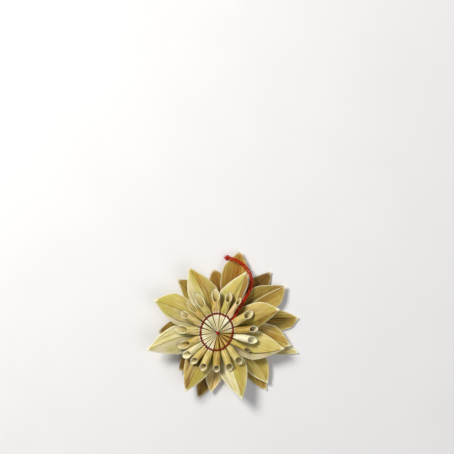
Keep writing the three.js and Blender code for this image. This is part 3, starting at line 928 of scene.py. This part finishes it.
def straw_rows(end):
    """The rows of one end, from the bottom of its bore out, round the rim and in to the neck.
    Each is (bottom radius, top radius, inset, rim paint with the painted highlight at the mouth, inside paint)."""
    rim_top = end.reach - end.cut
    bore = end.ring + BORE_START
    rows = []
    for i in range(BORE_ROWS):
        share = i / (BORE_ROWS - 1)
        rim_highlight = end.rim * EDGE_GLOW ** (BORE_ROWS - 1 - i)
        rows.append((mix(bore, end.reach, share), mix(bore, rim_top, share), STRAW_WALL, rim_highlight, 1.0))
    for share in RIM_SHARES:
        bulge = RIM_BULGE * math.sin(math.pi * share)
        rows.append((end.reach + bulge, rim_top + bulge, STRAW_WALL * share, end.rim, 0.0))
    start = end.ring + SKIN_START
    for i in range(SKIN_ROWS):
        share = i / (SKIN_ROWS - 1)
        rim_highlight = OUTER_GLOW * end.rim if i == 0 else 0.0
        rows.append((mix(end.reach, start, share), mix(rim_top, start, share), 0.0, rim_highlight, 0.0))
    for i in range(1, PLEAT_ROWS):
        radius = mix(start, DISC_EDGE, i / (PLEAT_ROWS - 1))
        rows.append((radius, radius, 0.0, 0.0, 0.0))
    return rows


def make_straw(number):
    """A whole straw: two ends and the thin neck that joins them across the middle."""
    end, opposite = STRAWS[number]
    rows = [(end, row) for row in straw_rows(end)]
    rows += [(end, None), (opposite, None)]
    rows += [(opposite, row) for row in reversed(straw_rows(opposite))]
    level = DISC_BOTTOM + NECK_THICKNESS + (number - 1) * NECK_STEP

    def spot_at(row, turn):
        side, numbers = rows[row]
        if numbers:
            return straw_spot(side, numbers[0], numbers[1], turn, *numbers[2:])
        angle = FULL_TURN * turn + math.pi / 2
        place = foot_of(STAR) + side.along * NECK_END
        place += side.across * math.cos(angle) * (NECK_WIDTH / 2)
        place.z = level + math.sin(angle) * NECK_THICKNESS / 2
        return Spot(place, (side.seed, turn), shade=NECK_DARK)

    piece = sleeve(f"straw_{number}_rolled", len(rows), AROUND_STRAW, spot_at)
    dress(piece, STRAW, "straw_skin", f"straw_{number}")


for number in STRAWS:
    make_straw(number)

# ---- Petals ----

PETAL_SHEET = 0.36 * MM
AROUND_PETAL = 96
PETAL_ROWS = 66
ROW_CROWDING = 1.25             # above 1, the rows lie closer together towards the tip
COLUMN_CROWDING = 0.6           # how far the columns crowd at the fold and at the edges
MOUTH_ROWS = 4                  # from the tip back inside
MOUTH_DEPTH = 1.0 * MM
TIP_LENGTH = 3 * MM
TIP_SHEET = 0.5 * MM            # thickness at the tip, where the petal is pinched
TIP_CUT = 0.7 * MM              # how far the outer skin stops short of the inner one at the tip
RIB_STEP = 0.5 * MM             # ribs lie farther apart than this
RIB_SLACK = 0.01 * MM           # points as near as this to a rib's edge lie on it
RIM_WIDTH = 0.42 * MM           # of the pale cut edge, widened as a painted highlight
EDGE_ROUNDING = 0.14 * MM
EDGE_WAVE, EDGE_WAVES = 0.14 * MM, 190          # how far the cut edges wander, and how often in a metre
PATCHES = 240                   # pale patches of a cut edge in a metre
FOLD_WIDTH = 0.2 * MM
FOLD_GROOVE = 0.3 * MM          # depth of the darkest fold
EDGE_PALER = 0.26               # how much paler a petal is at its edges than at its fold
BULGE = 0.08                    # height of a half's soft bulge, as a share of its width
FLUTE, FLUTES = 0.05 * MM, (70, 1000)           # fine ridges, and how often they come along and across
WAVE, WAVES = 0.22 * MM, (110, 150)             # wide swells, the same way
RELIEF_START, RELIEF_END = 8 * MM, 18 * MM      # from the middle out, where bulge and waves grow
CREASES = 4                     # pressed along each petal
CREASE_PLACE = (-0.85, 0.85)    # between the two edges at -1 and 1
CREASE_END = (0.55, 1.0)        # as a share of the way to the tip
CREASE_DEPTH = (0.06 * MM, 0.16 * MM)
CREASE_WIDTH = (0.02, 0.05)     # as a share of a half's width
CREASE_WANDER = 0.03            # how far one sways to each side, the same way
CREASE_FADE = 0.15              # over which one runs out, as a share of the way to the tip
CREASE_START, CREASE_FULL = 9 * MM, 14 * MM     # from the middle out, where the creases grow
CREASE_PAINT = 0.2 * MM         # depth that would take wholly dark painted shade
FOLD_BLEND = 0.1 * MM           # to each side of the fold, where the looks of the two halves mix

# Each petal: how pale its left and its right half are, how warm they are, and how dark the painted shade on its fold
# is, where a number below 0 makes it a raised ridge with a painted highlight. Paleness above 1 adds a painted
# highlight.
# Some paleness numbers also hold painted light: halves turned away from the lamp made paler, low petals in shade
# darker
FRONT_LOOKS = (
    (0.82, 0.60, 0.0, 0.3, 0.35), (0.66, 0.94, 0.1, 1.4, 0.6), (0.36, 0.32, -0.1, 0.2, 0.5),
    (0.62, 1.00, 0.0, 0.2, 0.9), (0.52, 0.96, 0.0, 0.0, 0.15), (0.50, 0.12, 0.2, 0.0, 0.4),
    (0.98, 0.90, 0.0, 0.0, 0.25), (0.78, 0.58, 0.1, 0.0, 0.45),
)
BACK_LOOKS = (
    (0.48, 0.44, 0.2, 0.2, 0.3), (0.60, 0.48, 1.8, 1.8, 0.3), (0.44, 0.46, -0.1, 0.2, -0.6),
    (0.70, 0.68, 0.9, 0.9, 0.6), (0.56, 0.70, 0.1, 0.0, -0.3), (0.94, 0.94, 1.2, 1.2, 0.6),
    (0.20, 0.20, 0.3, 0.3, 0.4), (0.22, 0.22, 0.0, 0.0, 0.3),
)
LOW_LOOKS = (
    (0.36, 0.34, 1.1, 1.1, 0.4), (0.00, 0.00, 0.5, 0.5, 0.4), (0.55, 0.50, 0.3, 0.3, 0.6),
    (1.50, 0.90, 0.0, 0.5, 0.4), (0.45, 0.45, 0.6, 0.6, 0.3), (0.38, 0.30, 0.4, 0.4, 0.4),
    (0.30, 0.30, 0.2, 0.2, 0.3), (0.30, 0.30, 0.2, 0.2, 0.3),
)


def ribs_of(points, along):
    """The points sorted along a petal and parted wherever there is a long step."""
    ordered = sorted(points, key=lambda p: p.dot(along))
    ribs = [[ordered[0]]]
    for before, after in zip(ordered, ordered[1:]):
        if (after - before).dot(along) > RIB_STEP:
            ribs.append([])
        ribs[-1].append(after)
    return ribs


class Petal:
    """A folded leaf of opened straw, a thin sleeve with a tiny open end at its pinched tip."""

    def __init__(self, node, centre, front, looks):
        self.centre = foot_of(centre)
        self.front = front
        self.left_pale, self.right_pale, self.left_warm, self.right_warm, self.fold_dark = looks
        self.measure(node_points(node, centre))
        rng = random.Random(node)
        self.creases = [(rng.uniform(*CREASE_PLACE), rng.uniform(*CREASE_END), rng.uniform(*CREASE_DEPTH),
                         rng.uniform(*CREASE_WIDTH)) for _ in range(CREASES)]
        self.seed = rng.random() * 50

    def measure(self, points):
        """Reads from the solid's ribs where the edges, the fold and the outer skin lie along it."""
        self.along = max(points, key=lambda p: p.xy.length).xy.to_3d().normalized()
        self.across = left_of(self.along)
        tip = ribs_of(points, self.along)[-1]
        sides = [p.dot(self.across) for p in tip]
        lean = (max(sides) + min(sides)) / 2
        self.along = (self.along * tip[0].dot(self.along) + self.across * lean).normalized()
        self.across = left_of(self.along)
        lines = {key: [] for key in ("left", "right", "fold", "left_z", "right_z", "fold_z")}
        for rib in ribs_of(points, self.along):
            place = sum(p.dot(self.along) for p in rib) / len(rib)
            crest = max(rib, key=lambda p: p.z if self.front else -p.z)
            lines["fold"].append((place, crest.dot(self.across)))
            lines["fold_z"].append((place, crest.z))
            for side, sign in (("left", 1), ("right", -1)):
                edge = max(sign * p.dot(self.across) for p in rib)
                heights = [p.z for p in rib if sign * p.dot(self.across) > edge - RIB_SLACK]
                lines[side].append((place, sign * edge))
                lines[side + "_z"].append((place, max(heights) if self.front else min(heights)))
        self.heel, self.reach = lines["left"][0][0], lines["left"][-1][0]
        for key, stations in lines.items():
            setattr(self, key, curve_through(stations))

    def row_at(self, row):
        """Radius of a row, from the heel out to the tip and a little way back inside it."""
        if row < PETAL_ROWS:
            return mix(self.heel, self.reach, 1 - (1 - row / (PETAL_ROWS - 1)) ** ROW_CROWDING), False
        return self.reach - (row - PETAL_ROWS + 1) / MOUTH_ROWS * MOUTH_DEPTH, True

    def crease_at(self, radius, share):
        """Depth of the creases at a place, share running from -1 to 1 between the edges."""
        reached = radius / self.reach
        deepest = 0.0
        for place, end, depth, width in self.creases:
            line = place + CREASE_WANDER * math.sin(radius * 300 + place * 9)
            strength = bell(share - line, width) * (1 - smooth(reached, end - CREASE_FADE, end))
            deepest = max(deepest, depth * strength)
        return deepest * smooth(radius, CREASE_START, CREASE_FULL)

    def bulge_at(self, radius, sideways, half, share):
        """How far the skin stands out from the solid's flat face in a soft bulge, flutes and waves."""
        bulge = BULGE * half * share * (1 - share) * smooth(radius, RELIEF_START, RELIEF_END)
        flutes = FLUTE * wobble(radius * FLUTES[0], sideways * FLUTES[1], self.seed)
        wave = WAVE * wobble(radius * WAVES[0], sideways * WAVES[1], self.seed + 3) * (0.3 + share)
        return bulge + flutes + wave * smooth(radius, RELIEF_START, RELIEF_END)

    def spot_at(self, row, turn):
        """The first half of a turn runs over the outer skin from left to right, the second back inside."""
        radius, in_mouth = self.row_at(row)
        near_tip = smooth(radius, self.reach - TIP_LENGTH, self.reach)
        sheet = mix(PETAL_SHEET, TIP_SHEET, near_tip)
        edge_wave = EDGE_WAVE * (1 - near_tip)
        left = self.left(radius) + edge_wave * wobble(radius * EDGE_WAVES, 3.3, self.seed)
        right = self.right(radius) - edge_wave * wobble(radius * EDGE_WAVES, 8.3, self.seed)
        fold = self.fold(radius)
        outer = turn <= 0.5
        span = turn * 2 if outer else 2 - turn * 2
        on_left = span < 0.5
        edge = left if on_left else right
        share = abs(1 - span * 2)       # from the fold at 0 to the edge at 1
        share -= COLUMN_CROWDING * math.sin(FULL_TURN * share) / FULL_TURN
        sideways = mix(fold, edge, share)

        # Heights: the outer skin with its relief, then the sheet's thickness with a rounded edge
        crease = self.crease_at(radius, share if sideways > fold else -share)
        fold_line = bell(sideways - fold, FOLD_WIDTH) * (1 - near_tip)
        relief = self.bulge_at(radius, sideways, abs(edge - fold), share) - crease
        relief -= FOLD_GROOVE * self.fold_dark * fold_line
        edge_z = self.left_z(radius) if on_left else self.right_z(radius)
        height = mix(self.fold_z(radius), edge_z, share) + (relief if self.front else -relief)
        rim = abs(edge - sideways)
        round_edge = 0.5 * min(1, rim / EDGE_ROUNDING) ** 0.5
        depth = sheet * (0.5 - round_edge if outer else 0.5 + round_edge)
        if in_mouth:
            depth = mix(depth, sheet / 2, 0.5)
            sideways = mix(sideways, (left + right) / 2, 0.45)
        cut = TIP_CUT * near_tip * (1 - depth / sheet)
        place = self.centre + self.along * (radius - cut) + self.across * sideways
        place.z = max(GROUND, height - depth if self.front else height + depth)

        # Paint: patchy pale edges that are partly painted highlight, a pale tip, painted shade or a painted highlight
        # along the
        #     # fold, and painted shade in the creases
        patchy = wobble(radius * PATCHES, 1.7 if on_left else 9.1, self.seed)
        edge_paint = bell(rim, RIM_WIDTH * (1 + 0.4 * patchy))
        edge_paint *= (0.35 + 0.6 * (self.left_pale if on_left else self.right_pale)) * (0.8 + 0.5 * patchy)
        shade = max(0, self.fold_dark) * fold_line + min(0.4, crease / CREASE_PAINT)
        blend = smooth(sideways - fold, -FOLD_BLEND, FOLD_BLEND)
        pale = mix(self.right_pale, self.left_pale, blend)
        warm = mix(self.right_warm, self.left_warm, blend)
        uv = (radius / CM + self.seed, sideways / CM + self.seed + (0 if outer else 4))
        return Spot(place, uv, inside=0.0 if outer else 1.0, shade=shade * (1 - edge_paint),
                    rim=max(min(1, edge_paint), -self.fold_dark * fold_line, 0.95 * near_tip ** 2, pale - 1),
                    tone=pale + EDGE_PALER * (share * share - 0.33), warm=warm * (1.4 - 0.8 * share))


def make_petal(node, centre, front, looks, material, slot):
    petal = Petal(node, centre, front, looks)
    piece = sleeve(node + "_leaf", PETAL_ROWS + MOUTH_ROWS, AROUND_PETAL, petal.spot_at)
    dress(piece, material, slot, node)


for number in range(len(FRONT_LOOKS)):
    make_petal(f"front_petal_{number + 1}", STAR, True, FRONT_LOOKS[number], FRONT_STRAW, "straw_petal")
    make_petal(f"back_petal_{number + 1}", BACK_STAR, False, BACK_LOOKS[number], BACK_STRAW_WITH_SHADE, "straw_inside")
    make_petal(f"low_petal_{number + 1}", BACK_STAR, False, LOW_LOOKS[number], BACK_STRAW_WITH_SHADE, "straw_inside")

# ---- Binding threads ----

RING_THREAD = 0.86 * MM
RING_STEPS = 400
RING_DIP = 0.1 * MM             # how far the ring dips and draws in between two straws
STRAW_HALF_TURN = math.radians(6.5)     # the dip starts about this far from a straw's middle
TIE_THREAD = 0.5 * MM
TIE_LEVEL = 0.35 * MM           # of the tie's line over the bottom of its solid
TIE_INSET = 0.35 * MM           # how much narrower the tie's line is than its solid
TIE_HEIGHT = 0.5 * MM           # of that line
TIE_PITCH = 1.6 * MM
TIE_STEPS = 72
BACK_KNOT_THREAD = 0.75 * MM
BACK_KNOT_INSET = 0.6 * MM
BACK_KNOT_HEIGHT = 0.7 * MM
BACK_KNOT_TURN = 0.3


def make_ring_thread():
    """The thread stitched round the straws: it rides over each one and dips between two."""
    path = []
    for i in range(RING_STEPS):
        angle = FULL_TURN * i / RING_STEPS - math.pi
        nearest = min(turn_between(angle, end.angle) for end in STRAW_ENDS)
        dip = RING_DIP * (1 - bell(nearest, STRAW_HALF_TURN))
        point = heading(angle) * (ring_radius(angle) - dip)
        path.append(point + Vector((STAR.x, STAR.y, ring_height(angle) - dip)))
    ring = thread_along("ring_thread_stitched", path, RING_THREAD, ring=True)
    dress(ring, DARK_THREAD, "dark_thread", "ring_thread")


def make_tie():
    """The small tie on the middle of the crossing."""
    low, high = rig.box("centre_tie")
    centre = (low + high) / 2
    centre.z = low.z + TIE_LEVEL
    line = knotted_loop(centre, high.x - low.x - TIE_INSET, TIE_HEIGHT, TIE_STEPS)
    tie = thread_along("centre_tie_tied", line, TIE_THREAD, ring=True, pitch=TIE_PITCH, tone=1.0)
    dress(tie, RED_THREAD, "red_thread", "centre_tie")


def make_back_knot():
    """The knot behind, drawn in between the heels of the back petals."""
    low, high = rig.box("back_knot")
    line = knotted_loop((low + high) / 2, high.x - low.x - BACK_KNOT_INSET, BACK_KNOT_HEIGHT,
                        turn=BACK_KNOT_TURN)
    knot = thread_along("back_knot_tied", line, BACK_KNOT_THREAD, ring=True)
    dress(knot, DARK_THREAD, "dark_thread", "back_knot")


make_ring_thread()
make_tie()
make_back_knot()

# ---- Stage ----

FLOOR_SIZE = 1.5
FLOOR_GAP = 0.05 * MM           # between the floor and the lowest solid
SKY_COLOUR = (0.9, 0.92, 1.0, 1)
SKY_STRENGTH = 0.22


def make_stage():
    """A wide pale floor, a warm lamp at the upper left, a broad one that fills the shadows, and a dim sky."""
    body = bmesh.new()
    bmesh.ops.create_grid(body, x_segments=1, y_segments=1, size=FLOOR_SIZE)
    floor = add_mesh("floor", body)
    floor.location.z = GROUND - FLOOR_GAP
    floor.data.materials.append(floor_finish())
    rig.stage(floor)
    make_lamp("key_lamp", place=(-0.38, 0.36, 0.58), size=0.26, power=5.6, colour=(1.0, 0.97, 0.92))
    make_lamp("fill_lamp", place=(0.5, -0.3, 0.8), size=0.8, power=2.7, colour=(1.0, 0.98, 0.95))
    world = bpy.data.worlds.new("studio")
    world.use_nodes = True
    sky = world.node_tree.nodes["Background"]
    sky.inputs["Color"].default_value = SKY_COLOUR
    sky.inputs["Strength"].default_value = SKY_STRENGTH
    bpy.context.scene.world = world
    bpy.context.scene.view_settings.view_transform = "Standard"


make_stage()

sizes = {"solids": solid_bounds, "looks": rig.bounds()}
with open("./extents.json", "w") as out:
    json.dump({key: [list(corner) for corner in box] for key, box in sizes.items()}, out)
